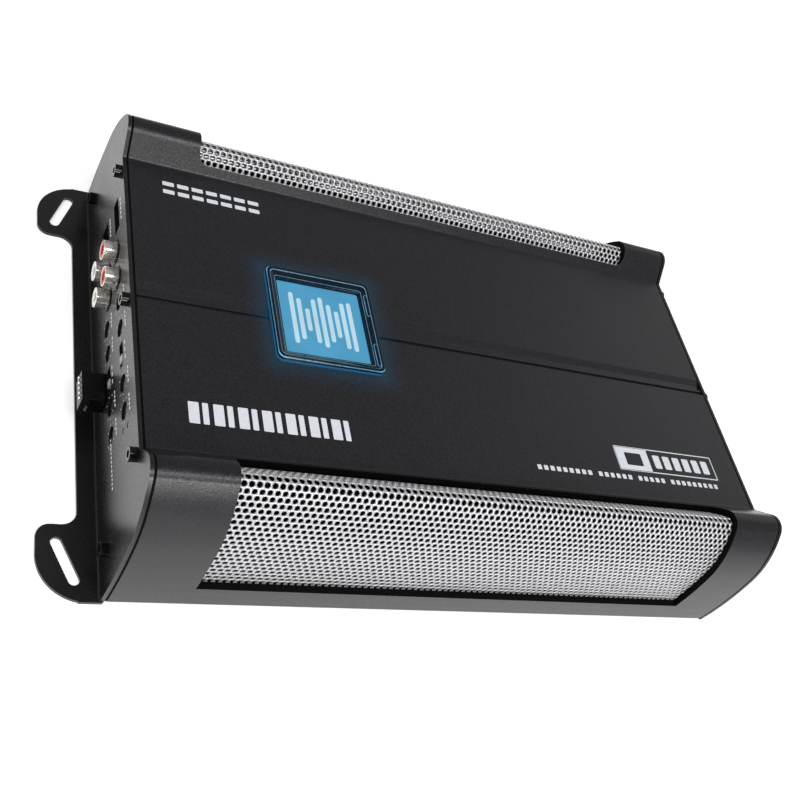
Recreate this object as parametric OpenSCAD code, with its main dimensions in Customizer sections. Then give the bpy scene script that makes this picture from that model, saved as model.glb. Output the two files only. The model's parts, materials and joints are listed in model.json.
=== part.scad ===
// Four-channel car amplifier: an extruded heat-sink case between two folded steel end plates.
// Frame: X along the case with the control panel at -X, Y across it, Z up.
// Origin: middle of the footprint, on the underside of the mounting feet. Millimetres.

/* [Case] */
// Length of the heat-sink extrusion
case_len = 300; // [280:1:340]
// Height of the flat top panel above the floor
panel_z = 56.2; // [56:0.1:56.6]
// Thickness of the outer skin round the side chambers
skin_t = 3.8; // [3.4:0.1:4]
// Thickness of the folded steel end plates and their feet
sheet_t = 1.5; // [1.2:0.1:1.6]
// Thickness of the gasket under each end plate
gasket_t = 1; // [0.5:0.1:1.5]

/* [Side windows] */
// Half the length of each grille window
window_half = 120.5; // [100:0.5:125]
// Height of the window's lower edge
window_low = 14; // [12:0.5:20]
// Thickness of the perforated sheet
grille_t = 1; // [0.6:0.1:1.2]

/* [Mounting ears] */
// Width of each slot
slot_w = 4.3; // [4:0.1:5]
// Slot length from end to end
slot_len = 20.6; // [16:0.2:21]
// Slot angle from the X axis
slot_a = 67.5; // [62:0.5:72]

/* [Controls] */
// Radius of the control knobs
knob_r = 3.1; // [2.6:0.1:3.2]
// Radius of the phono jack shells
jack_r = 4.15; // [4.1:0.05:4.3]
// How far the jack shells stand out of the panel
jack_out = 5.6; // [5:0.1:8]

/* [Badge] */
// Side of the square badge bezel
badge_side = 49; // [46:0.5:50]
// How far the bezel stands above the top panel
badge_up = 2.6; // [1.8:0.1:3]

/* [Hidden] */

// overlap used so that a cutter passes right through
over = 0.01;
// play left between pieces of one body
play = 0.05;

// case section: each bulge has a straight inner slope, then crest, shoulder and flank arcs
base_z = sheet_t;
crest_c = [84.64, 59.93];
crest_r = 7;
crest_a = 40.94;
slope_a = 49;
shoulder_r = 50.9;
shoulder_a = 9.04;
flank_r = 218.5;
root_r = 2;
root_z = panel_z + root_r;
slope_top = crest_c + crest_r * [-sin(slope_a), cos(slope_a)];
root_y = slope_top[0] + (cos(slope_a) * (root_z - slope_top[1]) - root_r) / sin(slope_a);
root_c = [root_y, root_z];
shoulder_c = crest_c - (shoulder_r - crest_r) * [cos(crest_a), sin(crest_a)];
flank_c = shoulder_c - (flank_r - shoulder_r) * [cos(shoulder_a), sin(shoulder_a)];

// inside of the case
gasket_bay_top = 49.3;
case_half = case_len / 2;
panel_t = 4;
bay_half = 70;
wall_out = 73;
grille_in = 76;
floor_z = 7;
fin_z = [23, 32, 41, 50];
fin_t = 2;
fin_gap = 9;
ledge_y = 65;
ledge_z = 7.5;
board_z = 9.5;
board_t = 1.6;

// end plates
plate_in = case_half + gasket_t;
plate_out = plate_in + sheet_t;
foot_x = plate_out + 7.7;
ear_c = [plate_out + 4, 86];
ear_r = 19;
tip_c = [plate_out + 17.3, 79.3];
tip_r = 5.6;
ear_root_r = 6;
slot_c = [plate_out + 12.3, 88.8];
foot_half = 105;
bend_r = 0.9;

// at the power end the plate ends level with case_half and its feet are nearer together
power_back = 2.5;
power_feet_in = 7;
power_case_end = case_half - power_back;
power_plate_in = plate_in - power_back;
power_plate_out = plate_out - power_back;
power_cut = [power_plate_in - 1, plate_out + 1];

// end-plate screws: across the top edge and low on each side
top_screws = [[66.5, 53], [-3.4, 53], [-73.3, 53]];
low_screws = [[89.3, 13.2], [-89.3, 13.2]];
screw_r = 1.45;
head_r = 2.75;
head_h = 3;
low_head_h = 1.6;
boss_r = 3.4;
edge_boss_r = 2.5;
hex_r = 1.5;

// bottom cover
cover_t = 1.2;
cover_half = 98;
cover_x = [-case_half + 0.5, power_case_end - 0.5];
cover_screw_x = [-135, -45, 45, 135];
cover_screw_y = 84;

// badge
badge_c = [-70.4, 0];
badge_window = 39;
badge_round = 3;
lit_t = 2;
light_board_t = 1.2;
lit_top = panel_z - 0.4;
bar_count = 9;
bar_w = 2;
bar_pitch = 3.4;
bar_long = 25;

// control panel positions (Y, Z)
panel_x = -plate_out;
jack_y = [31.7, 17.5];
red_z = 40.8;
white_z = 27.4;
jack_hole_r = 5.3;
jack_wall = 0.5;
jack_tail_r = 3.95;
contact_r = 1.65;
upper_z = 41.5;
lower_z = 23.9;
upper_y = [4.9, -8.4, -34.8, -47.3];
lower_y = [4.5, -7.9, -34.1, -46.8];
knob_hole_r = 3.6;
knob_sunk = 1;
pot_side = 9.5;
spindle_r = 1.5;
switch_c = [[-21.5, upper_z], [-20.8, lower_z]];
switch_rest = -1.9;
switch_slot = [11, 4.4];
light_c = [[-55.8, 45.1], [-54.8, 39.4]];
light_r = 1;
input_c = [48.9, 44.2];
input_size = [16.3, 6.3];
remote_c = [52, 27.5];
remote_size = [10, 9];
pin_side = 0.8;
plug_c = [-21.6, 15.7];
plug_size = [13.4, 8.6];
plug_nose = [12.6, 6.2];
plug_out = 9.5;
control_board_x = -case_half + 10;

// power end positions (Y, Z)
power_y = [26, 41, 56];
power_z = 19;
power_block = [17, 12, 14];
power_bore_r = 4;
power_bore_len = 13;
power_screw_r = 2.5;
speaker_pitch = 8.2;
speaker_first = -61.4;
speaker_count = 8;
speaker_z = 17.5;
speaker_block = [15, 6.6, 9.4];
speaker_bore_r = 2.4;
speaker_bore_len = 11;
speaker_screw_r = 1.5;
block_x = plate_in + 0.2;
fuse_y = [30.5, 53.5];
fuse_z = 41;
fuse_size = [9.5, 19.1, 5.1];
blade = [9, 5.2, 0.8];
blade_gap = 6.6;
blade_slot = [blade[1] + 0.7, blade[2] + 0.7];
fuse_mid = (fuse_y[0] + fuse_y[1]) / 2;

// ---------- shared outlines ----------

function arc_points(c, r, a0, a1, n) =
    [for (i = [0:n]) c + r * [cos(a0 + (a1 - a0) * i / n), sin(a0 + (a1 - a0) * i / n)]];

// right-hand edge of the case, moved in by d, from the panel's end down to height low
function side_line(d, low) = concat(
    arc_points(root_c, root_r + d, -90, slope_a - 90, 6),
    arc_points(crest_c, crest_r - d, slope_a + 90, crest_a, 16),
    arc_points(shoulder_c, shoulder_r - d, crest_a, shoulder_a, 8),
    arc_points(flank_c, flank_r - d, shoulder_a, asin((low - flank_c[1]) / (flank_r - d)), 8)
);

// how far out a fin at height z reaches, short of the case's outside
function fin_end(z) = z > shoulder_c[1] + (shoulder_r - fin_gap) * sin(shoulder_a) ?
    shoulder_c[0] + sqrt(pow(shoulder_r - fin_gap, 2) - pow(z - shoulder_c[1], 2)) :
    flank_c[0] + sqrt(pow(flank_r - fin_gap, 2) - pow(z - flank_c[1], 2));

module case_outline(d, low) {
    right = side_line(d, low);
    left = [for (i = [len(right) - 1:-1:0]) [-right[i][0], right[i][1]]];
    polygon(concat(right, left));
}

module along_x(from, to) {
    translate([from, 0, 0])
        rotate([90, 0, 90])
            linear_extrude(to - from)
                children();
}

module x_rod(from, to, y, z, r) {
    translate([from, y, z])
        rotate([0, 90, 0])
            cylinder(h = to - from, r = r, $fn = 48);
}

module both_sides() {
    children();
    mirror([0, 1, 0])
        children();
}

module box(low, high) {
    translate(low)
        cube(high - low);
}

// ---------- case ----------

module groove() {
    // sloping facet, flat floor, low rib and a narrow deep slot
    translate([0, panel_z])
        polygon([
            [5.3, over], [5.2, 0], [1.6, -1.1], [-1, -1.1], [-1.3, -0.5], [-2.3, -0.5],
            [-2.4, -1.5], [-3.5, -1.5], [-3.7, -0.6], [-4.4, 0], [-4.5, over]
        ]);
}

module chamber(side) {
    mirror([side < 0 ? 1 : 0, 0])
        difference() {
            intersection() {
                case_outline(skin_t, floor_z);
                translate([wall_out, floor_z])
                    square([60, 80]);
            }
            for (z = fin_z)
                translate([wall_out - 1, z - fin_t / 2])
                    square([fin_end(z) - wall_out + 1, fin_t]);
            translate([low_screws[0][0] - boss_r / 2, floor_z - 1])
                square([boss_r, low_screws[0][1] - floor_z]);
            translate(low_screws[0])
                circle(r = boss_r, $fn = 40);
            if (side < 0)
                translate([-top_screws[2][0], top_screws[2][1]])
                    circle(r = edge_boss_r, $fn = 40);
        }
}

module case_section() {
    difference() {
        case_outline(0, base_z);
        difference() {
            translate([-bay_half, base_z - 1])
                square([2 * bay_half, panel_z - panel_t - base_z + 1]);
            for (p = top_screws)
                translate(p)
                    circle(r = boss_r, $fn = 40);
            for (s = [-1, 1])
                translate([s > 0 ? ledge_y : -bay_half - 1, ledge_z])
                    square([bay_half - ledge_y + 1, board_z - ledge_z]);
        }
        chamber(1);
        chamber(-1);
        groove();
    }
}

module window_footprint() {
    // square at the outside, with round inner corners
    inner = 75.2;
    round_r = 4;
    difference() {
        translate([-window_half, inner])
            square([2 * window_half, 40]);
        for (s = [-1, 1])
            translate([s * (window_half - round_r / 2), inner + round_r / 2])
                square([round_r + over, round_r + over], center = true);
    }
    for (s = [-1, 1])
        translate([s * (window_half - round_r), inner + round_r])
            circle(r = round_r, $fn = 32);
}

module window_cutter() {
    intersection() {
        along_x(-window_half - 5, window_half + 5)
            difference() {
                case_outline(-1.5, 0);
                case_outline(skin_t + over, 0);
            }
        translate([0, 0, window_low])
            linear_extrude(80)
                window_footprint();
    }
}

module heatsink_body() {
    color([0.09, 0.09, 0.1])
        difference() {
            along_x(-case_half, power_case_end)
                case_section();
            both_sides()
                window_cutter();
            // seat under the badge and the hole that its light comes through
            translate([badge_c[0], badge_c[1], panel_z - 0.6])
                rounded_slab(badge_side + 0.3, badge_round + 0.15, 10);
            translate([badge_c[0], badge_c[1], panel_z - 10])
                rounded_slab(badge_window - 0.4, 1, 20);
            // flat seat for the light board under the panel
            translate([badge_c[0], badge_c[1], panel_z - panel_t - 10])
                rounded_slab(badge_window + 5, 1, 10);
            for (p = concat(top_screws, low_screws), s = [-1, 1])
                x_rod(s * case_half - 14, s * case_half + 14, p[0], p[1], 1.5);
            for (x = cover_screw_x, y = [-cover_screw_y, cover_screw_y])
                translate([x, y, base_z - 1])
                    cylinder(h = 6, r = 1.5, $fn = 32);
        }
}

module grille() {
    color([0.78, 0.78, 0.8])
        along_x(-window_half - 5, window_half + 5)
            intersection() {
                difference() {
                    case_outline(skin_t + 0.1, 0);
                    case_outline(skin_t + 0.1 + grille_t, 0);
                }
                translate([grille_in, floor_z + 0.2])
                    square([60, 80]);
            }
}

module grille_front() {
    mirror([0, 1, 0])
        grille();
}

module grille_rear() {
    grille();
}

module bottom_cover() {
    color([0.12, 0.12, 0.13])
        difference() {
            box([cover_x[0], -cover_half, base_z - cover_t], [cover_x[1], cover_half, base_z]);
            for (x = cover_screw_x, y = [-cover_screw_y, cover_screw_y])
                translate([x, y, base_z - cover_t - over]) {
                    cylinder(h = cover_t + 1, r = 1.5, $fn = 32);
                    cylinder(h = 1, r1 = 2.85, r2 = 1.5, $fn = 32);
                }
        }
}

module bottom_cover_screws() {
    color([0.2, 0.2, 0.21])
        for (x = cover_screw_x, y = [-cover_screw_y, cover_screw_y])
            translate([x, y, base_z - cover_t])
                difference() {
                    union() {
                        cylinder(h = 0.9, r1 = 2.7, r2 = screw_r, $fn = 32);
                        cylinder(h = 5.5, r = screw_r, $fn = 32);
                    }
                    for (a = [0, 90])
                        rotate(a)
                            translate([-1.3, -0.25, -over])
                                cube([2.6, 0.5, 0.7]);
                }
}

// ---------- end plates ----------

module ear_outline() {
    difference() {
        union() {
            translate([plate_out - 1, 0])
                square([foot_x - plate_out + 1, foot_half]);
            intersection() {
                translate(ear_c)
                    circle(r = ear_r, $fn = 96);
                translate([plate_out - 1, tip_c[1]])
                    square([40, 40]);
            }
            translate(tip_c)
                circle(r = tip_r, $fn = 64);
            translate([plate_out - 1, tip_c[1]])
                square([tip_c[0] + tip_r - plate_out + 1, ear_c[1] - tip_c[1]]);
            translate([plate_out - 1, tip_c[1] - tip_r])
                square([tip_c[0] - plate_out + 1, tip_r + 1]);
            translate([foot_x - 1, tip_c[1] - tip_r - ear_root_r])
                square([ear_root_r + 1, ear_root_r + over]);
        }
        translate([foot_x + ear_root_r, tip_c[1] - tip_r - ear_root_r])
            circle(r = ear_root_r, $fn = 48);
        translate(slot_c)
            rotate(180 - slot_a)
                slot_outline();
    }
}

module slot_outline() {
    run = slot_len - slot_w;
    square([run, slot_w], center = true);
    for (s = [-1, 1])
        translate([s * run / 2, 0])
            circle(d = slot_w, $fn = 40);
}

module foot_bend(half) {
    // quarter-round inside the fold
    translate([0, half - 1, sheet_t])
        rotate([90, 0, 0])
            linear_extrude(2 * half - 2)
                difference() {
                    translate([-over, -over])
                        square(bend_r + over);
                    translate([bend_r, bend_r])
                        circle(r = bend_r, $fn = 32);
                }
}

// plate and foot at the +X end, the upright moved back and the feet moved in; children are cut out
module end_plate(back, feet_in) {
    half = foot_half - feet_in;
    difference() {
        union() {
            along_x(plate_in - back, plate_out - back)
                case_outline(0, 0);
            linear_extrude(sheet_t) {
                both_sides_2d()
                    translate([0, -feet_in])
                        ear_outline();
                translate([plate_out - back - 1, -half])
                    square([back + 1.5, 2 * half]);
            }
            translate([plate_out - back, 0, 0])
                foot_bend(half);
        }
        for (p = concat(top_screws, low_screws))
            x_rod(plate_in - back - 1, plate_out - back + 1, p[0], p[1], 1.6);
        children();
    }
}

module both_sides_2d() {
    children();
    mirror([0, 1])
        children();
}

module hole_rect(c, size, x0, x1) {
    box([x0, c[0] - size[0] / 2, c[1] - size[1] / 2], [x1, c[0] + size[0] / 2, c[1] + size[1] / 2]);
}

module control_end_plate() {
    color([0.16, 0.16, 0.17])
        difference() {
            mirror([1, 0, 0])
                end_plate(0, 0);
            for (y = jack_y, z = [red_z, white_z])
                x_rod(panel_x - 1, panel_x + 3, y, z, jack_hole_r);
            for (y = upper_y)
                x_rod(panel_x - 1, panel_x + 3, y, upper_z, knob_hole_r);
            for (y = lower_y)
                x_rod(panel_x - 1, panel_x + 3, y, lower_z, knob_hole_r);
            for (c = switch_c)
                hole_rect(c, switch_slot, panel_x - 1, panel_x + 3);
            for (c = light_c)
                x_rod(panel_x - 1, panel_x + 3, c[0], c[1], light_r + 0.2);
            hole_rect(input_c, input_size, panel_x - 1, panel_x + 3);
            hole_rect(remote_c, remote_size, panel_x - 1, panel_x + 3);
            hole_rect(plug_c, plug_size + [0.7, 0.7], panel_x - 1, panel_x + 3);
        }
}

module power_end_plate() {
    speaker_mid = speaker_first + (speaker_count - 1) / 2 * speaker_pitch;
    color([0.16, 0.16, 0.17])
        end_plate(power_back, power_feet_in) {
            hole_rect([power_y[1], power_z], [48, 17], power_cut[0], power_cut[1]);
            hole_rect([speaker_mid, speaker_z], [67, 13], power_cut[0], power_cut[1]);
            hole_rect([fuse_mid, fuse_z], [46, 9], power_cut[0], power_cut[1]);
        }
}

module end_gaskets() {
    color([0.03, 0.03, 0.03])
        for (s = [0, 1])
            mirror([s, 0, 0])
                along_x(case_half - (1 - s) * power_back, plate_in - (1 - s) * power_back)
                    difference() {
                        case_outline(0.2, base_z);
                        translate([-bay_half + 1, base_z - 1])
                            square([2 * bay_half - 2, gasket_bay_top - base_z + 1]);
                        for (p = concat(top_screws, low_screws))
                            translate(p)
                                circle(r = 1.6, $fn = 32);
                    }
}

// socket screw pointing along -X with its head on the plate's face
module plate_screw(p, face, head) {
    difference() {
        union() {
            x_rod(face - 12.5, face + over, p[0], p[1], screw_r);
            x_rod(face, face + head, p[0], p[1], head_r);
        }
        translate([face + head * 0.4, p[0], p[1]])
            rotate([0, 90, 0])
                cylinder(h = 3, r = hex_r, $fn = 6);
    }
}

module end_plate_screws() {
    color([0.07, 0.07, 0.08])
        for (p = concat(top_screws, low_screws)) {
            plate_screw(p, power_plate_out, low_head_h);
            mirror([1, 0, 0])
                plate_screw(p, plate_out, head_h);
        }
}

// ---------- badge ----------

module rounded_slab(side, r, h) {
    linear_extrude(h)
        rounded_square(side, r);
}

module rounded_square(side, r) {
    half = side / 2 - r;
    square([side, 2 * half], center = true);
    square([2 * half, side], center = true);
    for (x = [-half, half], y = [-half, half])
        translate([x, y])
            circle(r = r, $fn = 32);
}

module badge_bezel() {
    // clear frame: full height at the rim and a lower step round the lit panel
    step_up = 1;
    color([0.55, 0.8, 0.95, 0.5])
        translate([badge_c[0], badge_c[1], 0])
            difference() {
                union() {
                    translate([0, 0, panel_z - 0.5])
                        rounded_slab(badge_side, badge_round, 0.5 + step_up);
                    translate([0, 0, panel_z + step_up - over])
                        rounded_slab(badge_side - 1.4, badge_round - 0.7, badge_up - step_up + over);
                }
                translate([0, 0, panel_z - 1])
                    rounded_slab(badge_window, 1, 10);
                translate([0, 0, panel_z + step_up])
                    rounded_slab(badge_window + 3, 1.6, 10);
            }
}

module badge_panel() {
    color([0.3, 0.65, 0.85])
        translate([badge_c[0], badge_c[1], lit_top - lit_t])
            rounded_slab(badge_window - 0.6, 0.9, lit_t);
}

function bar_height(i) = bar_long * (0.35 + 0.65 * abs(cos(i * 47)));

module badge_emblem() {
    // level-meter bars
    color([0.85, 0.95, 1])
        translate([badge_c[0], badge_c[1], lit_top])
            for (i = [0:bar_count - 1])
                translate([(i - (bar_count - 1) / 2) * bar_pitch, 0, 0])
                    linear_extrude(0.3) {
                        square([bar_w, bar_height(i)], center = true);
                        for (s = [-1, 1])
                            translate([0, s * bar_height(i) / 2])
                                circle(d = bar_w, $fn = 24);
                    }
}

module badge_light_board() {
    // small board with nine lamps under the lit panel
    color([0.1, 0.35, 0.2])
        translate([badge_c[0], badge_c[1], panel_z - panel_t - light_board_t])
            union() {
                rounded_slab(badge_window + 4, 1, light_board_t);
                for (x = [-10, 0, 10], y = [-10, 0, 10])
                    translate([x - 1.5, y - 1.5, light_board_t - over])
                        cube([3, 3, 1]);
            }
}

// ---------- control panel ----------

module rca_housing() {
    color([0.06, 0.06, 0.07])
        difference() {
            union() {
                box([-plate_in + 0.2, 11, 20.5], [control_board_x - 0.1, 38.2, 47.7]);
                for (y = jack_y, z = [red_z, white_z])
                    x_rod(panel_x - 0.3, -plate_in + 1, y, z, 5);
            }
            for (y = jack_y, z = [red_z, white_z])
                x_rod(panel_x - 1, -case_half + 1.5, y, z, jack_tail_r + play);
        }
}

module jack_tube(y, z, r_out, r_in, from, to) {
    difference() {
        x_rod(from, to, y, z, r_out);
        x_rod(from - 1, to + 1, y, z, r_in);
    }
}

module rca_shells() {
    color([0.8, 0.78, 0.74])
        for (y = jack_y, z = [red_z, white_z])
            difference() {
                union() {
                    x_rod(panel_x - jack_out, panel_x - 0.4, y, z, jack_r);
                    x_rod(panel_x - 0.4 - over, -case_half + 1.4, y, z, jack_tail_r);
                }
                x_rod(panel_x - jack_out - 1, -case_half + 3, y, z, jack_r - jack_wall);
            }
}

module jack_insert(y, z) {
    jack_tube(y, z, jack_r - jack_wall - play, contact_r + 0.45, panel_x - jack_out + 0.1, -case_half + 1.4);
}

module rca_red_inserts() {
    color([0.75, 0.12, 0.1])
        for (y = jack_y)
            jack_insert(y, red_z);
}

module rca_white_inserts() {
    color([0.93, 0.93, 0.9])
        for (y = jack_y)
            jack_insert(y, white_z);
}

module rca_contacts() {
    color([0.85, 0.8, 0.6])
        for (y = jack_y, z = [red_z, white_z])
            jack_tube(y, z, contact_r + 0.4, contact_r, panel_x - jack_out + 0.7, -case_half + 1.4);
}

module pot_body(y, z) {
    difference() {
        box([control_board_x - 8.3, y - pot_side / 2, z - pot_side / 2],
            [control_board_x - 0.1, y + pot_side / 2, z + pot_side / 2]);
        x_rod(control_board_x - 9, control_board_x - 3, y, z, spindle_r + play);
    }
}

module potentiometer_bodies() {
    color([0.1, 0.25, 0.5]) {
        for (y = upper_y)
            pot_body(y, upper_z);
        for (y = lower_y)
            pot_body(y, lower_z);
    }
}

module knob(y, z) {
    front = panel_x + knob_sunk;
    color([0.13, 0.13, 0.14])
        difference() {
            union() {
                x_rod(front, control_board_x - 8.7, y, z, knob_r);
                x_rod(control_board_x - 8.8, control_board_x - 3.5, y, z, spindle_r);
            }
            box([front - 1, y - 0.4, z - 2.4], [front + 1, y + 0.4, z + 2.4]);
        }
}

module front_gain_knob() { knob(upper_y[0], upper_z); }
module front_high_pass_knob() { knob(upper_y[1], upper_z); }
module front_low_pass_knob() { knob(upper_y[2], upper_z); }
module front_bass_knob() { knob(upper_y[3], upper_z); }
module rear_gain_knob() { knob(lower_y[0], lower_z); }
module rear_high_pass_knob() { knob(lower_y[1], lower_z); }
module rear_low_pass_knob() { knob(lower_y[2], lower_z); }
module rear_bass_knob() { knob(lower_y[3], lower_z); }

module switch_bodies() {
    color([0.35, 0.36, 0.38])
        for (c = switch_c)
            difference() {
                hole_rect(c, [15, 7.6], control_board_x - 8.6, control_board_x - 0.1);
                hole_rect(c, [12, 4.8], control_board_x - 10, control_board_x - 5);
            }
}

module slider(c) {
    color([0.55, 0.55, 0.56])
        union() {
            hole_rect([c[0] + switch_rest, c[1]], [6, 4.2], control_board_x - 8.2, control_board_x - 5.4);
            hole_rect([c[0] + switch_rest, c[1]], [3, 3], panel_x - 0.3, control_board_x - 8.1);
        }
}

module front_filter_switch() { slider(switch_c[0]); }
module rear_filter_switch() { slider(switch_c[1]); }

module panel_lights() {
    color([0.5, 0.1, 0.1])
        for (c = light_c)
            x_rod(panel_x + 0.2, control_board_x - 0.1, c[0], c[1], light_r);
}

// open-fronted plastic socket with a row of pins on its back wall
module socket(c, size, depth, pins, pin_len) {
    back = -plate_in + depth;
    difference() {
        hole_rect(c, size + [3, 3], -plate_in + 0.1, back + 1.4);
        hole_rect(c, size, -plate_in - 1, back);
    }
    pitch = size[0] / pins;
    for (i = [0:pins - 1])
        translate([0, (i - (pins - 1) / 2) * pitch, 0])
            hole_rect(c, [pin_side, pin_side], back - pin_len, back + over);
}

module speaker_input_socket() {
    color([0.88, 0.87, 0.83])
        socket(input_c, input_size, 9, 4, 2.5);
}

module bass_remote_socket() {
    color([0.05, 0.05, 0.05])
        socket(remote_c, remote_size, 9, 4, 2);
}

module harness_socket() {
    color([0.08, 0.08, 0.08])
        difference() {
            hole_rect(plug_c, plug_size + [1.8, 0], -plate_in + 0.1, -plate_in + 8);
            hole_rect(plug_c, plug_nose + [0.7, 0.7], -plate_in - 1, -plate_in + 6.8);
        }
}

module harness_plug() {
    // plug body, narrower nose in the socket, a row of contacts and a side latch
    face_x = panel_x - plug_out;
    color([0.05, 0.05, 0.05])
        difference() {
            union() {
                hole_rect(plug_c, plug_size, face_x, panel_x - 0.3);
                hole_rect(plug_c, plug_nose, panel_x - 0.4, -plate_in + 6.4);
                translate([face_x + 3, plug_c[0] - plug_size[0] / 2 + 0.2, plug_c[1] - 1])
                    rotate(-35)
                        translate([0, -2.6, 0])
                            cube([1.2, 2.8, 3.6]);
            }
            for (i = [-2:2])
                hole_rect([plug_c[0] + i * 2.4, plug_c[1] + 1.6], [1.3, 1.6], face_x - 1, face_x + 2.5);
        }
}

// ---------- electronics ----------

module control_board() {
    color([0.05, 0.3, 0.18])
        box([control_board_x, -64, board_z + board_t + 1], [control_board_x + 1.6, 64, 48.5]);
}

module main_board() {
    color([0.05, 0.3, 0.18])
        box([-case_half + 3, -bay_half + 0.5, board_z], [case_half - 3, bay_half - 0.5, board_z + board_t]);
}

toroid_c = [70, 0];
toroid_in = 13;
toroid_out = 24;
toroid_h = 18;
wire_t = 3;
coil_half_a = 36;

module transformer_core() {
    color([0.5, 0.45, 0.2])
        translate([toroid_c[0], toroid_c[1], board_z + board_t + wire_t + 0.2])
            difference() {
                cylinder(h = toroid_h, r = toroid_out, $fn = 72);
                translate([0, 0, -1])
                    cylinder(h = toroid_h + 2, r = toroid_in, $fn = 72);
            }
}

module coil_sector() {
    edge = 60 * [cos(coil_half_a), sin(coil_half_a)];
    polygon([[0, 0], [edge[0], -edge[1]], [75, 0], edge]);
}

module transformer_winding() {
    // four coils, each wrapped round a part of the ring core
    low = board_z + board_t + 0.2;
    color([0.72, 0.4, 0.2])
        translate([toroid_c[0], toroid_c[1], 0])
            for (a = [0:90:270])
                rotate([0, 0, a])
                    difference() {
                        intersection() {
                            translate([0, 0, low])
                                difference() {
                                    cylinder(h = toroid_h + 2 * wire_t, r = toroid_out + wire_t, $fn = 72);
                                    translate([0, 0, -1])
                                        cylinder(h = toroid_h + 3 * wire_t, r = toroid_in - wire_t, $fn = 72);
                                }
                            translate([0, 0, low])
                                linear_extrude(60)
                                    coil_sector();
                        }
                        translate([0, 0, low + wire_t - play])
                            difference() {
                                cylinder(h = toroid_h + 2 * play, r = toroid_out + play, $fn = 72);
                                translate([0, 0, -1])
                                    cylinder(h = toroid_h + 3, r = toroid_in - play, $fn = 72);
                            }
                    }
}

module capacitors() {
    color([0.1, 0.1, 0.3])
        for (x = [-30, -8, 14], y = [-14, 14])
            translate([x, y, board_z + board_t + 0.1])
                union() {
                    cylinder(h = 30, r = 8.5, $fn = 48);
                    cylinder(h = 1.4, r = 9, $fn = 48);
                }
}

transistor_x = [-110, -82, -54, -26, 2, 30, 58, 86];
leg_pitch = 5;
leg_low = board_z + board_t + 0.1;

module power_transistors() {
    // flat packages against the case's inner walls, with three legs each
    color([0.08, 0.08, 0.08])
        both_sides()
            for (x = transistor_x) {
                box([x - 7.8, bay_half - 5, 21], [x + 7.8, bay_half - 0.2, 41]);
                for (i = [-1:1])
                    translate([x + i * leg_pitch, 0, 0])
                        box([-0.6, bay_half - 3.2, leg_low], [0.6, bay_half - 2.6, 21 + over]);
            }
}

module transistor_clamps() {
    color([0.6, 0.6, 0.62])
        both_sides()
            for (x = [-82, 30])
                box([x - 38, bay_half - 8.2, 28], [x + 66, bay_half - 5.1, 35]);
}

// ---------- power end ----------

// open-fronted pocket with a little play round a terminal block
module block_pocket(y, z, size) {
    hole_rect([y, z], [size[1] + 2 * play, size[2] + 2 * play], block_x - play, plate_out + 20);
}

module power_terminal_housing() {
    color([0.05, 0.05, 0.06])
        difference() {
            box([case_half - 2, power_y[0] - 8.5, power_z - 8.2],
                [plate_out + 8, power_y[2] + 8.5, power_z + 8.2]);
            for (y = power_y)
                block_pocket(y, power_z, power_block);
        }
}

module terminal_block(y, z, size, bore_r, bore_len, hole_r) {
    front = block_x + size[0];
    difference() {
        box([block_x, y - size[1] / 2, z - size[2] / 2], [front, y + size[1] / 2, z + size[2] / 2]);
        x_rod(front - bore_len, front + 1, y, z, bore_r);
        translate([front - size[0] * 0.25, y, z])
            cylinder(h = size[2], r = hole_r + play, $fn = 40);
    }
}

module power_terminal_contacts() {
    color([0.8, 0.78, 0.74])
        for (y = power_y)
            terminal_block(y, power_z, power_block, power_bore_r, power_bore_len, power_screw_r);
}

// grub screw whose point stops just above the cable hole
module terminal_screw(y, z, size, bore_r, r) {
    top = z + size[2] / 2 + 1.2;
    low = z + bore_r + 0.15;
    color([0.75, 0.74, 0.72])
        translate([block_x + size[0] * 0.75, y, 0])
            difference() {
                translate([0, 0, low])
                    cylinder(h = top - low, r = r, $fn = 40);
                translate([0, 0, top - 1.6])
                    cylinder(h = 3, r = r * 0.6, $fn = 6);
            }
}

module power_screw(i) {
    terminal_screw(power_y[i], power_z, power_block, power_bore_r, power_screw_r);
}

module power_screw_1() { power_screw(0); }
module power_screw_2() { power_screw(1); }
module power_screw_3() { power_screw(2); }

function speaker_y(i) = speaker_first + i * speaker_pitch;

module speaker_terminal_housing() {
    low_y = speaker_y(0) - speaker_pitch / 2 - 0.6;
    high_y = speaker_y(speaker_count - 1) + speaker_pitch / 2 + 0.6;
    color([0.05, 0.05, 0.06])
        difference() {
            box([case_half - 2, low_y, speaker_z - 6.2], [plate_out + 6, high_y, speaker_z + 6.2]);
            for (i = [0:speaker_count - 1])
                block_pocket(speaker_y(i), speaker_z, speaker_block);
        }
}

module speaker_terminal_contacts() {
    color([0.8, 0.78, 0.74])
        for (i = [0:speaker_count - 1])
            terminal_block(
                speaker_y(i), speaker_z, speaker_block, speaker_bore_r, speaker_bore_len, speaker_screw_r
            );
}

module speaker_screw(i) {
    terminal_screw(speaker_y(i), speaker_z, speaker_block, speaker_bore_r, speaker_screw_r);
}

module speaker_screw_1() { speaker_screw(0); }
module speaker_screw_2() { speaker_screw(1); }
module speaker_screw_3() { speaker_screw(2); }
module speaker_screw_4() { speaker_screw(3); }
module speaker_screw_5() { speaker_screw(4); }
module speaker_screw_6() { speaker_screw(5); }
module speaker_screw_7() { speaker_screw(6); }
module speaker_screw_8() { speaker_screw(7); }

module fuse_holder() {
    color([0.06, 0.06, 0.07])
        difference() {
            hole_rect([fuse_mid, fuse_z], [45.4, 8.4], case_half - 12, plate_out + 1.2);
            for (y = fuse_y, s = [-1, 1])
                hole_rect([y + s * blade_gap, fuse_z], blade_slot, case_half - 10.5, plate_out + 2);
        }
}

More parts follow.
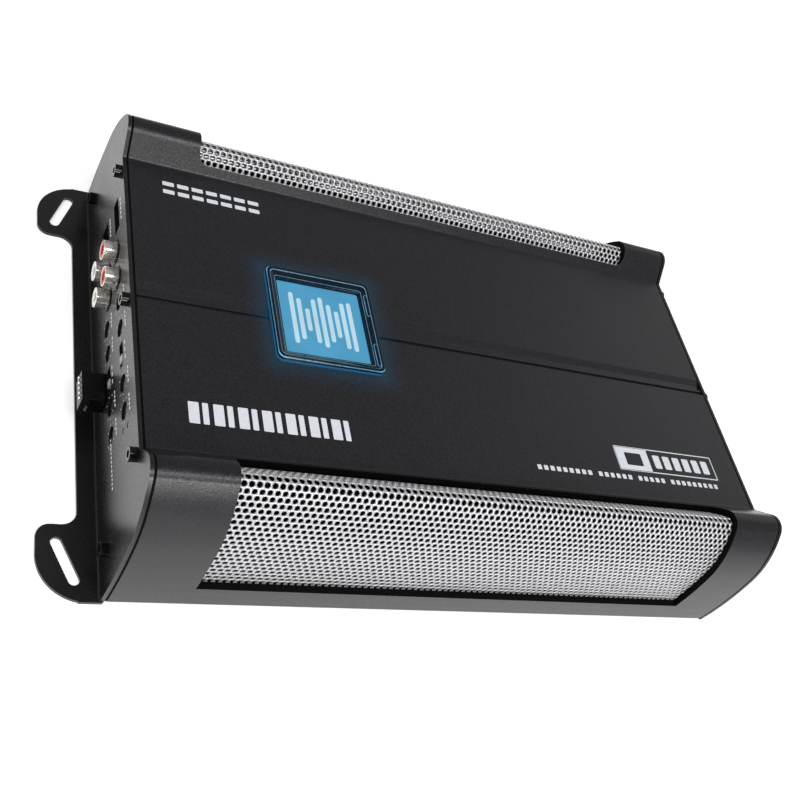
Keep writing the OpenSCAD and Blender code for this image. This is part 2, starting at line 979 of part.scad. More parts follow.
module fuse(y) {
    // moulded grip with two blades; the recess is where its rating shows
    grip_x = plate_out + 1.5;
    color([0.2, 0.6, 0.25])
        difference() {
            union() {
                hole_rect([y, fuse_z], [fuse_size[1], fuse_size[2]], grip_x, grip_x + fuse_size[0]);
                for (s = [-1, 1])
                    translate([0, s * blade_gap, 0])
                        hole_rect([y, fuse_z], [blade[1], blade[2]], grip_x - blade[0], grip_x + 1);
            }
            hole_rect([y, fuse_z], [10, 2.6], grip_x + fuse_size[0] - 1, grip_x + fuse_size[0] + 1);
        }
}

module fuse_left() { fuse(fuse_y[0]); }
module fuse_right() { fuse(fuse_y[1]); }

// ---------- one line per node ----------

heatsink_body();
grille_front();
grille_rear();
control_end_plate();
power_end_plate();
end_gaskets();
bottom_cover();
end_plate_screws();
bottom_cover_screws();
badge_bezel();
badge_panel();
badge_emblem();
badge_light_board();
rca_housing();
rca_shells();
rca_red_inserts();
rca_white_inserts();
rca_contacts();
potentiometer_bodies();
switch_bodies();
panel_lights();
speaker_input_socket();
bass_remote_socket();
harness_socket();
control_board();
main_board();
transformer_core();
transformer_winding();
capacitors();
power_transistors();
transistor_clamps();
power_terminal_housing();
power_terminal_contacts();
speaker_terminal_housing();
speaker_terminal_contacts();
fuse_holder();
front_gain_knob();
front_high_pass_knob();
front_low_pass_knob();
front_bass_knob();
rear_gain_knob();
rear_high_pass_knob();
rear_low_pass_knob();
rear_bass_knob();
front_filter_switch();
rear_filter_switch();
harness_plug();
fuse_left();
fuse_right();
power_screw_1();
power_screw_2();
power_screw_3();
speaker_screw_1();
speaker_screw_2();
speaker_screw_3();
speaker_screw_4();
speaker_screw_5();
speaker_screw_6();
speaker_screw_7();
speaker_screw_8();
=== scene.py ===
"""Looks of the car amplifier: its pieces, materials, lights and camera. Metres, in the CAD part's frame."""

import json
import math

import bmesh
import bpy
from mathutils import Matrix, Vector

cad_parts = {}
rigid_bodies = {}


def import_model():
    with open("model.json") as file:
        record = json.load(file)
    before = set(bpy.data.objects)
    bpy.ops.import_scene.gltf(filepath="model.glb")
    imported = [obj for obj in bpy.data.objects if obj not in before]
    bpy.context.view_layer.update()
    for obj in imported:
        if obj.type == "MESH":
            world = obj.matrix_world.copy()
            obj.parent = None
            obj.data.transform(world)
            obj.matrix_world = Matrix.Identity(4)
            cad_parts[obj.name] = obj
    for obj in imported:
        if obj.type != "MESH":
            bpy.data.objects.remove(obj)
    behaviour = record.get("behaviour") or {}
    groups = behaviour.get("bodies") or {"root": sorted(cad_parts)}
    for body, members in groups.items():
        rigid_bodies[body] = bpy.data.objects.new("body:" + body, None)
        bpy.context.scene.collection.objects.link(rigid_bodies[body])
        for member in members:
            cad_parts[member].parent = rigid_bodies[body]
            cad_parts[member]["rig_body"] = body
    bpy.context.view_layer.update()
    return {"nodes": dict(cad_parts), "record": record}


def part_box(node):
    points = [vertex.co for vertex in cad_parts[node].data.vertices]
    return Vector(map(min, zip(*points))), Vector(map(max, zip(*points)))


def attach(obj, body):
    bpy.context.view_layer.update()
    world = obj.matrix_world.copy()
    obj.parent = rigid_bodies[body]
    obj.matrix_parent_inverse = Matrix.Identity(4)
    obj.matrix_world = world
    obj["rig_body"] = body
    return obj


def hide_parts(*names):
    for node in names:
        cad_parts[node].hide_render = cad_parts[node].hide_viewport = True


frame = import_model()

MM = 0.001
ROOT = "amplifier"
SLOTS = {part["node"]: part["material_slot"] for part in frame["record"]["subparts"]}

BEZEL_LOW, BEZEL_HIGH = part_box("badge_bezel")
BADGE_AT = ((BEZEL_LOW.x + BEZEL_HIGH.x) / 2, (BEZEL_LOW.y + BEZEL_HIGH.y) / 2)
BADGE_HALF = (BEZEL_HIGH.x - BEZEL_LOW.x) / 2


# ---------- camera ----------

def make_camera():
    """The camera of the main picture, close above the front left corner and rolled to one side."""
    right = Vector((0.867083, -0.185609, 0.462294))
    up = Vector((-0.122963, 0.81954, 0.559673))
    back = Vector((-0.482749, -0.542129, 0.687787))
    place = Vector((-0.2472566, -0.2672225, 0.349895))
    data = bpy.data.cameras.new("camera")
    data.sensor_width = 36
    data.lens = 46.245
    data.clip_start = 0.01
    data.clip_end = 50
    cam = bpy.data.objects.new("camera", data)
    bpy.context.scene.collection.objects.link(cam)
    turn = Matrix((right, up, back)).transposed().to_4x4()
    cam.matrix_world = Matrix.Translation(place) @ turn
    bpy.context.scene.camera = cam


# ---------- shader building ----------

def new_material(name):
    mat = bpy.data.materials.new(name)
    mat.use_nodes = True
    tree = mat.node_tree
    tree.nodes.clear()
    out = tree.nodes.new("ShaderNodeOutputMaterial")
    shader = tree.nodes.new("ShaderNodeBsdfPrincipled")
    tree.links.new(shader.outputs["BSDF"], out.inputs["Surface"])
    return mat, tree, shader


def object_coords(tree):
    return tree.nodes.new("ShaderNodeTexCoord").outputs["Object"]


def noise(tree, vector, scale, detail=2, rough=0.5):
    node = tree.nodes.new("ShaderNodeTexNoise")
    node.inputs["Scale"].default_value = scale
    node.inputs["Detail"].default_value = detail
    node.inputs["Roughness"].default_value = rough
    tree.links.new(vector, node.inputs["Vector"])
    return node.outputs["Fac"]


def maths(tree, kind, *values):
    """A math node's output. Each value is a number or another node's output."""
    node = tree.nodes.new("ShaderNodeMath")
    node.operation = kind
    for socket, value in zip(node.inputs, values):
        if isinstance(value, (int, float)):
            socket.default_value = value
        else:
            tree.links.new(value, socket)
    return node.outputs[0]


def remap(tree, value, low, high, low_in=0.3, high_in=0.7):
    node = tree.nodes.new("ShaderNodeMapRange")
    node.inputs["From Min"].default_value = low_in
    node.inputs["From Max"].default_value = high_in
    node.inputs["To Min"].default_value = low
    node.inputs["To Max"].default_value = high
    tree.links.new(value, node.inputs["Value"])
    return node.outputs["Result"]


def bump(tree, shader, height, strength, distance):
    node = tree.nodes.new("ShaderNodeBump")
    node.inputs["Strength"].default_value = strength
    node.inputs["Distance"].default_value = distance
    tree.links.new(height, node.inputs["Height"])
    tree.links.new(node.outputs["Normal"], shader.inputs["Normal"])


def blend(tree, value, start, low, end, high):
    """Colour that runs from low, where the value is start, to high, where it is end."""
    node = tree.nodes.new("ShaderNodeValToRGB")
    first, last = node.color_ramp.elements
    first.position, first.color = start, (*low, 1)
    last.position, last.color = end, (*high, 1)
    tree.links.new(value, node.inputs["Fac"])
    return node.outputs["Color"]


def scaled(colour, factor):
    return tuple(channel * factor for channel in colour)


def edge_wear(tree, vector, base, worn):
    """Colour that turns lighter within half a millimetre of a sharp edge, broken up by noise."""
    rounded = tree.nodes.new("ShaderNodeBevel")
    rounded.samples = 4
    rounded.inputs["Radius"].default_value = 0.5 * MM
    true_normal = tree.nodes.new("ShaderNodeNewGeometry")
    match = tree.nodes.new("ShaderNodeVectorMath")
    match.operation = "DOT_PRODUCT"
    tree.links.new(rounded.outputs["Normal"], match.inputs[0])
    tree.links.new(true_normal.outputs["Normal"], match.inputs[1])
    edges = remap(tree, match.outputs["Value"], 1, 0, 0.9, 0.985)
    patchy = remap(tree, noise(tree, vector, 260, 3), 0.1, 0.6, 0.35, 0.75)
    mix = tree.nodes.new("ShaderNodeMix")
    mix.data_type = "RGBA"
    tree.links.new(maths(tree, "MULTIPLY", edges, patchy), mix.inputs["Factor"])
    fresh, rubbed = [socket for socket in mix.inputs if socket.type == "RGBA"]
    tree.links.new(base, fresh)
    rubbed.default_value = (*worn, 1)
    return next(socket for socket in mix.outputs if socket.type == "RGBA")


def paint(name, colour, rough, grain, height=0.04, strength=0.5, worn=None, spec=0.5, speckle=0.15):
    """Powder coat or moulded plastic: fine grain, uneven gloss, and worn edges if a colour is given."""
    mat, tree, shader = new_material(name)
    vector = object_coords(tree)
    fine = noise(tree, vector, grain, 2, 0.6)
    broad = noise(tree, vector, 45, 3)
    tone = blend(tree, fine, 0.35, scaled(colour, 1 - speckle), 0.65, scaled(colour, 1 + speckle))
    if worn:
        tone = edge_wear(tree, vector, tone, worn)
    tree.links.new(tone, shader.inputs["Base Color"])
    gloss = maths(tree, "ADD", remap(tree, broad, rough - 0.02, rough + 0.02), remap(tree, fine, -0.05, 0.05))
    tree.links.new(gloss, shader.inputs["Roughness"])
    shader.inputs["Specular IOR Level"].default_value = spec
    bump(tree, shader, fine, strength, height * MM)
    return mat


def metal(name, colour, rough, tint=0.12, metallic=1):
    """Plated, brushed or cast metal with slightly uneven colour and gloss."""
    mat, tree, shader = new_material(name)
    fine = noise(tree, object_coords(tree), 500, 3, 0.6)
    tree.links.new(blend(tree, fine, 0.3, scaled(colour, 1 - tint), 0.7, colour), shader.inputs["Base Color"])
    tree.links.new(remap(tree, fine, rough * 0.75, rough * 1.25), shader.inputs["Roughness"])
    shader.inputs["Metallic"].default_value = metallic
    bump(tree, shader, fine, 0.3, 0.01 * MM)
    return mat


def lit(name, colour, base, strength):
    """Surface that gives off an even, slightly cloudy light."""
    mat, tree, shader = new_material(name)
    soft = noise(tree, object_coords(tree), 60, 2)
    tree.links.new(blend(tree, soft, 0.3, scaled(colour, 0.85), 0.7, colour), shader.inputs["Emission Color"])
    shader.inputs["Emission Strength"].default_value = strength
    shader.inputs["Base Color"].default_value = (*base, 1)
    shader.inputs["Roughness"].default_value = 0.25
    return mat


def clear(name, colour, rough):
    """Clear plastic."""
    mat, tree, shader = new_material(name)
    shader.inputs["Base Color"].default_value = (*colour, 1)
    shader.inputs["Transmission Weight"].default_value = 1
    shader.inputs["IOR"].default_value = 1.49
    cloudy = noise(tree, object_coords(tree), 120, 2)
    tree.links.new(remap(tree, cloudy, rough, rough + 0.04), shader.inputs["Roughness"])
    return mat


def shader_of(mat):
    return next(node for node in mat.node_tree.nodes if node.type == "BSDF_PRINCIPLED")


def from_badge(tree):
    """Distances from the badge's middle along X and along Y, and the height."""
    split = tree.nodes.new("ShaderNodeSeparateXYZ")
    tree.links.new(object_coords(tree), split.inputs["Vector"])
    away = [maths(tree, "ABSOLUTE", maths(tree, "SUBTRACT", split.outputs[axis], BADGE_AT[axis]))
            for axis in (0, 1)]
    return away[0], away[1], split.outputs[2]


def add_glow(mat, reach, colour, strength):
    """Light from the badge falling off over the panel round it."""
    tree, shader = mat.node_tree, shader_of(mat)
    along, across, height = from_badge(tree)
    squares = []
    for away in (along, across):
        beyond = maths(tree, "MAXIMUM", maths(tree, "SUBTRACT", away, BADGE_HALF), 0.0)
        squares.append(maths(tree, "MULTIPLY", beyond, beyond))
    distance = maths(tree, "SQRT", maths(tree, "ADD", *squares))
    near = maths(tree, "SUBTRACT", 1.0, maths(tree, "DIVIDE", distance, reach))
    fade = maths(tree, "POWER", maths(tree, "MAXIMUM", near, 0.0), 2.2)
    on_top = maths(tree, "GREATER_THAN", height, 50 * MM)
    patchy = remap(tree, noise(tree, object_coords(tree), 900, 2), 0.85, 1.15)
    level = maths(tree, "MULTIPLY", maths(tree, "MULTIPLY", fade, on_top), patchy)
    shader.inputs["Emission Color"].default_value = (*colour, 1)
    tree.links.new(maths(tree, "MULTIPLY", level, strength), shader.inputs["Emission Strength"])


def add_glints(mat, near, base, extra):
    """Brighter light where a swept line passes round a corner of the badge, broken up by noise."""
    tree, shader = mat.node_tree, shader_of(mat)
    along, across, _ = from_badge(tree)
    corner = maths(tree, "MULTIPLY", *(remap(tree, away, 0, 1, BADGE_HALF - near, BADGE_HALF)
                                       for away in (along, across)))
    patchy = remap(tree, noise(tree, object_coords(tree), 500, 2), 0.5, 1.2)
    steady = remap(tree, patchy, base * 0.6, base * 1.2, 0.5, 1.2)
    level = maths(tree, "MULTIPLY_ADD", corner, extra, steady)
    tree.links.new(level, shader.inputs["Emission Strength"])


# ---------- materials ----------

# colour, roughness, grain scale, bump in mm, bump strength, colour of worn edges, specular level, speckle
PAINTS = {
    "powder_coat": ((0.0085, 0.0085, 0.0108), 0.31, 1700, 0.09, 0.8, (0.035, 0.035, 0.04), 0.44, 0.5),
    "plate_black": ((0.006, 0.006, 0.0065), 0.3, 1500, 0.03, 0.3, (0.045, 0.045, 0.045), 0.5, 0.2),
    # flat black that also stands in as painted shade: on the case's insides behind the grilles and in the
    # screws' hexagon sockets
    "black_and_painted_shade": ((0.002, 0.002, 0.002), 0.8, 900, 0.03, 0.3, None, 0.08),
    "gasket": ((0.002, 0.002, 0.002), 0.85, 700, 0.04, 0.5, None, 0.1),
    "screw_black": ((0.002, 0.002, 0.0025), 0.14, 900, 0.01, 0.2, (0.05, 0.05, 0.05), 0.3),
    "black_plastic": ((0.003, 0.003, 0.0035), 0.3, 800, 0.02, 0.3, None, 0.28),
    "dark_plastic": ((0.03, 0.03, 0.032), 0.35, 800, 0.02, 0.3),
    "grey_plastic": ((0.32, 0.32, 0.33), 0.45, 800, 0.02, 0.3),
    "white_plastic": ((0.78, 0.77, 0.73), 0.35, 800, 0.01, 0.2, None, 0.5, 0.03),
    "red_plastic": ((0.55, 0.03, 0.02), 0.33, 800, 0.01, 0.2, None, 0.5, 0.05),
    "blue_plastic": ((0.02, 0.09, 0.3), 0.4, 700),
    "capacitor_sleeve": ((0.015, 0.015, 0.05), 0.3, 300),
    "ferrite": ((0.1, 0.09, 0.05), 0.5, 400),
    "circuit_board": ((0.01, 0.08, 0.035), 0.35, 300),
    "fuse_green": ((0.03, 0.3, 0.06), 0.28, 500),
    "lamp_red": ((0.22, 0.01, 0.01), 0.2, 500),
    "bezel_dark": ((0.001, 0.005, 0.014), 0.08, 300, 0.005, 0.1, None, 0.35, 0.3),
    "ink_white": ((0.58, 0.6, 0.64), 0.55, 900, 0.01, 0.2, None, 0.4, 0.05),
}

# colour, roughness, unevenness of the colour, metallic part
METALS = {
    "nickel": ((0.92, 0.88, 0.82), 0.14, 0.12, 0.85),
    "gold_plate": ((0.8, 0.74, 0.6), 0.25),
    "pressed_steel": ((0.5, 0.5, 0.5), 0.35),
    "bare_aluminium": ((0.72, 0.72, 0.73), 0.35),
    "copper_wire": ((0.72, 0.32, 0.14), 0.3),
    "grille_silver": ((0.6, 0.6, 0.62), 0.34, 0.1, 0.6),
}

# colour of the light, colour under it, strength
LIGHTED = {
    "lit_blue": ((0.07, 0.34, 0.57), (0.01, 0.03, 0.05), 0.9),
    "emblem_white": ((0.45, 0.7, 0.83), (0.1, 0.12, 0.13), 0.85),
    "bezel_line": ((0.13, 0.42, 0.6), (0.02, 0.05, 0.08), 0.85),
    "bezel_wall": ((0.01, 0.09, 0.2), (0.01, 0.03, 0.06), 0.9),
}

MATERIALS = {name: paint(name, *look) for name, look in PAINTS.items()}
MATERIALS.update({name: metal(name, *look) for name, look in METALS.items()})
MATERIALS.update({name: lit(name, *look) for name, look in LIGHTED.items()})
MATERIALS["clear_acrylic"] = clear("clear_acrylic", (0.55, 0.85, 1.0), 0.03)
add_glow(MATERIALS["powder_coat"], 13 * MM, (0.002, 0.085, 0.17), 0.27)
add_glints(MATERIALS["bezel_line"], 5 * MM, 0.55, 1.3)


# ---------- pieces ----------

def mesh_of(node):
    """A copy of a CAD node's mesh with its flat faces whole again."""
    bm = bmesh.new()
    bm.from_mesh(frame["nodes"][node].data)
    bmesh.ops.remove_doubles(bm, verts=bm.verts, dist=1e-6)
    bmesh.ops.dissolve_limit(bm, angle_limit=math.radians(1), verts=bm.verts, edges=bm.edges)
    return bm


def object_from(bm, name):
    mesh = bpy.data.meshes.new(name)
    bm.to_mesh(mesh)
    bm.free()
    obj = bpy.data.objects.new(name, mesh)
    bpy.context.scene.collection.objects.link(obj)
    return obj


def link(obj, looks, body=ROOT, replaced=()):
    """Gives the piece its materials, in the order of its faces' indices, and its place in the frame."""
    picked = [poly.material_index for poly in obj.data.polygons]
    obj.data.materials.clear()
    for look in looks:
        obj.data.materials.append(MATERIALS[look])
    obj.data.polygons.foreach_set("material_index", picked)
    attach(obj, body)
    if replaced:
        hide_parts(*replaced)


def stand_in(obj, looks, node):
    """Links a piece that takes the place of a CAD node, on that node's body."""
    link(obj, looks, frame["nodes"][node]["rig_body"], (node,))


def smooth(obj, angle=32):
    for poly in obj.data.polygons:
        poly.use_smooth = True
    obj.data.set_sharp_from_angle(angle=math.radians(angle))


def bevel(obj, width, angle=32):
    """Rounds the sharp edges, width in mm, and keeps large flat faces evenly shaded."""
    edges = obj.modifiers.new("edges", "BEVEL")
    edges.width = width * MM
    edges.segments = 2
    edges.limit_method = "ANGLE"
    edges.angle_limit = math.radians(angle)
    edges.use_clamp_overlap = True
    flat = obj.modifiers.new("flat_faces", "WEIGHTED_NORMAL")
    flat.weight = 100
    flat.keep_sharp = True


def rounded_piece(node, width):
    """The CAD node's shape with its edges rounded over and its curves shaded smooth."""
    obj = object_from(mesh_of(node), node + "_piece")
    smooth(obj)
    bevel(obj, width)
    stand_in(obj, [SLOTS[node]], node)


def on_arc(centre, radius, angle):
    turn = math.radians(angle)
    return (centre[0] + radius * math.cos(turn), centre[1] + radius * math.sin(turn))


def block(x0, x1, y0, y1, radius=0.4):
    """Rounded rectangle as (x, y) points."""
    radius = min(radius, (x1 - x0) / 2.01, (y1 - y0) / 2.01)
    corners = ((x1 - radius, y1 - radius), (x0 + radius, y1 - radius),
               (x0 + radius, y0 + radius), (x1 - radius, y0 + radius))
    steps = 4
    return [on_arc(corner, radius, 90 * n + 90 * step / steps)
            for n, corner in enumerate(corners) for step in range(steps + 1)]


# ---------- case section, mm ----------

PANEL_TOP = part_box("badge_panel")[1].z / MM + 0.4
SKIN = 3.9
CREST = (84.64, 59.93)
CREST_R = 7
CREST_A = 40.94
SLOPE_A = 49
SHOULDER_R = 50.9
SHOULDER_A = 9.04
FLANK_R = 218.5
SHOULDER = on_arc(CREST, CREST_R - SHOULDER_R, CREST_A)
FLANK = on_arc(SHOULDER, SHOULDER_R - FLANK_R, SHOULDER_A)
SLOPE_TOP = on_arc(CREST, CREST_R, 90 + SLOPE_A)


def bulge_line(inset, inner_y, low_z):
    """Points (y, z) in mm over one bulge, inset from its surface: inner slope, crest, shoulder, flank."""
    top = on_arc(CREST, CREST_R - inset, 90 + SLOPE_A)
    foot_z = top[1] - (top[0] - inner_y) * math.tan(math.radians(SLOPE_A))
    points = [(inner_y, foot_z)]
    flank_end = math.degrees(math.asin((low_z - FLANK[1]) / (FLANK_R - inset)))
    for centre, radius, start, end, count in (
        (CREST, CREST_R, 90 + SLOPE_A, CREST_A, 24),
        (SHOULDER, SHOULDER_R, CREST_A, SHOULDER_A, 40),
        (FLANK, FLANK_R, SHOULDER_A, flank_end, 40),
    ):
        for step in range(count):
            points.append(on_arc(centre, radius - inset, start + (end - start) * step / count))
    points.append(on_arc(FLANK, FLANK_R - inset, flank_end))
    return points


def on_bulge(y, z):
    """Whether a point lies on the case's outer surface from the foot of an inner slope outwards."""
    slack = 0.5
    y = abs(y)
    turn = math.degrees(math.atan2(z - CREST[1], y - CREST[0]))
    if CREST_A - 1 <= turn <= 91 + SLOPE_A and abs(math.dist((y, z), CREST) - CREST_R) < slack:
        return True
    slope = math.radians(SLOPE_A)
    off_slope = (y - SLOPE_TOP[0]) * math.sin(slope) - (z - SLOPE_TOP[1]) * math.cos(slope)
    if y < SLOPE_TOP[0] + slack and z > PANEL_TOP - slack and abs(off_slope) < slack + 0.6:
        return True
    if z > 5 and abs(math.dist((y, z), SHOULDER) - SHOULDER_R) < slack and y > CREST[0]:
        return True
    return z > 0 and abs(math.dist((y, z), FLANK) - FLANK_R) < slack and y > 90


def make_case():
    """The extrusion, with the cut edges of its windows in flat black and the insides behind them black as
    painted shade.
    """
    bm = mesh_of("heatsink_body")
    window_half, window_low = 125, 14
    end_face_x, inner_wall_y, floor_top = 140, 73, 3
    for face in bm.faces:
        centre = face.calc_center_median() / MM
        along, out, up = abs(centre.x), abs(centre.y), centre.z
        hidden = not on_bulge(centre.y, up)
        end = abs(face.normal.x) > 0.9 and along > end_face_x
        cut_edge = along < window_half and out > inner_wall_y + 1 and up > window_low - 0.5
        inside = out > inner_wall_y and not end and up > floor_top
        # faces off the outer surface: flat black on the windows' cut edges, painted shade on the insides
        face.material_index = 1 if hidden and (cut_edge or inside) else 0
    obj = object_from(bm, "case_extrusion")
    smooth(obj, 11)
    bevel(obj, 0.14, 12)
    stand_in(obj, ["powder_coat", "black_and_painted_shade"], "heatsink_body")


# ---------- perforated grilles, mm ----------

HOLE_PITCH = 2.95
ROW_PITCH = 2.52
HOLE_R = 1.08
SHEET = 0.7
WINDOW_INNER_Y = 76.0


class Line:
    """A line of (y, z) points that can be read by distance along it."""

    def __init__(self, points):
        self.points = points
        self.marks = [0.0]
        for a, b in zip(points, points[1:]):
            self.marks.append(self.marks[-1] + math.dist(a, b))
        self.length = self.marks[-1]

    def at(self, distance):
        distance = min(max(distance, 0), self.length)
        for k in range(len(self.marks) - 1):
            if distance <= self.marks[k + 1]:
                part = (distance - self.marks[k]) / max(self.marks[k + 1] - self.marks[k], 1e-9)
                a, b = self.points[k], self.points[k + 1]
                return (a[0] + (b[0] - a[0]) * part, a[1] + (b[1] - a[1]) * part)
        return self.points[-1]


def make_grille(node, side):
    """Perforated sheet bent over one bulge, with round holes in staggered rows."""
    low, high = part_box(node)
    line = Line(bulge_line(SKIN, WINDOW_INNER_Y, low.z / MM))
    rows = int((line.length - 1.6) / ROW_PITCH)
    first = (line.length - rows * ROW_PITCH) * 0.35
    half_len = (high.x - low.x) / 2 / MM
    columns = int((2 * half_len - 1) / HOLE_PITCH)
    left = -columns * HOLE_PITCH / 2
    last = 2 * columns
    bm = bmesh.new()
    corners = {}

    def vert(x, distance):
        y, z = line.at(distance)
        return bm.verts.new((x * MM, side * y * MM, z * MM))

    def corner(k, row):
        """Corner between cells, made once; those beyond the holes lie on the sheet's edge."""
        if (k, row) not in corners:
            x = left + k * HOLE_PITCH / 2
            if k < 0 or k > last:
                x = math.copysign(half_len, k - 1)
            distance = first + row * ROW_PITCH
            if row < 0:
                distance = 0
            elif row > rows:
                distance = line.length
            corners[k, row] = vert(x, distance)
        return corners[k, row]

    def face(verts):
        bm.faces.new(verts if side > 0 else verts[::-1])

    def plain(k0, k1, row):
        """Stretch of sheet without a hole."""
        face([corner(k0, row), corner(k1, row), corner(k1, row + 1), corner(k0, row + 1)][::-1])

    def cell(k, row):
        """Six faces round one hole."""
        centre_x = left + (k + 1) * HOLE_PITCH / 2
        centre_s = first + (row + 0.5) * ROW_PITCH
        ring = [corner(k + 2, row), corner(k + 2, row + 1), corner(k + 1, row + 1),
                corner(k, row + 1), corner(k, row), corner(k + 1, row)]
        reach = math.degrees(math.atan2(ROW_PITCH, HOLE_PITCH))
        marks = [-reach, reach, 90, 180 - reach, 180 + reach, 270, 360 - reach]
        parts = [3, 2, 2, 3, 2, 2]
        edge = []
        for n in range(6):
            for step in range(parts[n]):
                turn = math.radians(marks[n] + (marks[n + 1] - marks[n]) * step / parts[n])
                edge.append(vert(centre_x + HOLE_R * math.cos(turn), centre_s + HOLE_R * math.sin(turn)))
        start = 0
        for n in range(6):
            inner = [edge[(start + step) % len(edge)] for step in range(parts[n] + 1)]
            face(([ring[n], ring[(n + 1) % 6]] + inner[::-1])[::-1])
            start += parts[n]

    for row in range(rows):
        shift = row % 2
        if shift:
            plain(0, 1, row)
            plain(last - 1, last, row)
        for column in range(columns - shift):
            cell(2 * column + shift, row)
    for row in range(-1, rows + 1):
        plain(-1, 0, row)
        plain(last, last + 1, row)
    for row in (-1, rows):
        for k in range(last):
            plain(k, k + 1, row)
    obj = object_from(bm, node + "_mesh")
    sheet = obj.modifiers.new("sheet", "SOLIDIFY")
    sheet.thickness = SHEET * MM
    sheet.offset = -1
    smooth(obj, 40)
    stand_in(obj, ["grille_silver"], node)


# ---------- badge ----------

def rounded_ring(half, radius):
    """Points (x, y) round a square with rounded corners."""
    steps = 8
    points = []
    for n, (sx, sy) in enumerate(((1, 1), (-1, 1), (-1, -1), (1, -1))):
        centre = (sx * (half - radius), sy * (half - radius))
        for step in range(steps + 1):
            points.append(on_arc(centre, radius, 90 * n + 90 * step / steps))
    return points


def make_bezel():
    """Clear frame whose ridges catch the light of the badge: its section is swept round the square."""
    half = BADGE_HALF / MM
    top = BEZEL_HIGH.z / MM
    base = BEZEL_LOW.z / MM
    inner = 4.95
    corner_r = 3.2
    # points of the section: inward, z, and the look from here to the next: 0 dark, 1 lit line, 2 lit wall
    section = [
        (0.0, base, 2), (0.0, base + 0.7, 2), (0.08, base + 1.5, 0), (0.25, top - 0.7, 1),
        (0.5, top - 0.3, 0), (0.9, top - 0.04, 0), (1.3, top - 0.04, 0), (1.75, top - 0.3, 1),
        (2.0, top - 0.5, 0), (2.6, top - 0.8, 0), (3.4, top - 1.3, 0), (3.9, top - 1.5, 1),
        (4.15, top - 1.56, 0), (4.75, top - 1.7, 0), (inner, top - 2.1, 0), (inner, base, 0),
    ]
    bm = bmesh.new()
    rings = []
    for inward, z, _ in section:
        ring = rounded_ring(half - inward, max(corner_r - inward * 0.55, 0.6))
        rings.append([bm.verts.new((BADGE_AT[0] + x * MM, BADGE_AT[1] + y * MM, z * MM)) for x, y in ring])
    count = len(rings[0])
    for k, (_, _, band) in enumerate(section):
        a, b = rings[k], rings[(k + 1) % len(rings)]
        for n in range(count):
            m = (n + 1) % count
            bm.faces.new((a[n], a[m], b[m], b[n])).material_index = band
    obj = object_from(bm, "badge_frame")
    smooth(obj, 50)
    stand_in(obj, ["bezel_dark", "bezel_line", "bezel_wall"], "badge_bezel")


def make_bezel_slots():
    """Two dark pill-shaped recesses in the frame's inner slope, each with a lit edge."""
    top = BEZEL_HIGH.z / MM
    inward, lean, depth = 2.6, 0.45, 0.35
    middle_x = BADGE_AT[0] + BADGE_HALF - inward * MM
    bm = bmesh.new()
    for y in (12.0, -15.0):
        for half, z, radius, index in ((6.0, top - 0.82, 0.75, 1), (5.6, top - 0.72, 0.5, 0)):
            outline = [on_arc((0, half - radius), radius, 18 * step) for step in range(11)]
            outline += [on_arc((0, radius - half), radius, 180 + 18 * step) for step in range(11)]
            ring = [bm.verts.new((middle_x + x * MM, (y + dy) * MM, (z + (x + 0.2) * lean) * MM))
                    for x, dy in outline]
            face = bm.faces.new(ring)
            face.material_index = index
            made = bmesh.ops.extrude_face_region(bm, geom=[face])
            new_verts = [v for v in made["geom"] if isinstance(v, bmesh.types.BMVert)]
            bmesh.ops.translate(bm, verts=new_verts, vec=(0, 0, -depth * MM))
    bmesh.ops.recalc_face_normals(bm, faces=bm.faces)
    obj = object_from(bm, "badge_frame_slots")
    smooth(obj)
    link(obj, ["bezel_dark", "bezel_line"])


# ---------- print, mm ----------

INK = 0.03
PLATE = 1.5
TITLE_X, TITLE_Y, TITLE_H = -133.5, -59.5, 9.5
LINE_X, LINE_Y = -136, 56.2
LABEL_X, LABEL_Y, LABEL_W, LABEL_H = 70.5, -57.5, 62, 13.1
FOOT_X, FOOT_Y = 22.0, -62.5


def slab(bm, outline, lift, place, hole=None):
    """Thin printed shape with an optional hole of as many points. place puts (a, b, lift) in the frame."""
    def ring(points, height):
        return [bm.verts.new(place(a, b, height)) for a, b in points]

    upper, lower = ring(outline, lift + INK), ring(outline, lift)
    count = len(outline)
    if hole:
        upper_in, lower_in = ring(hole, lift + INK), ring(hole, lift)
    for n in range(count):
        m = (n + 1) % count
        bm.faces.new((lower[n], lower[m], upper[m], upper[n]))
        if hole:
            bm.faces.new((upper[n], upper[m], upper_in[m], upper_in[n]))
            bm.faces.new((upper_in[n], upper_in[m], lower_in[m], lower_in[n]))
            bm.faces.new((lower_in[n], lower_in[m], lower[m], lower[n]))
    if not hole:
        bm.faces.new(upper)
        bm.faces.new(lower[::-1])


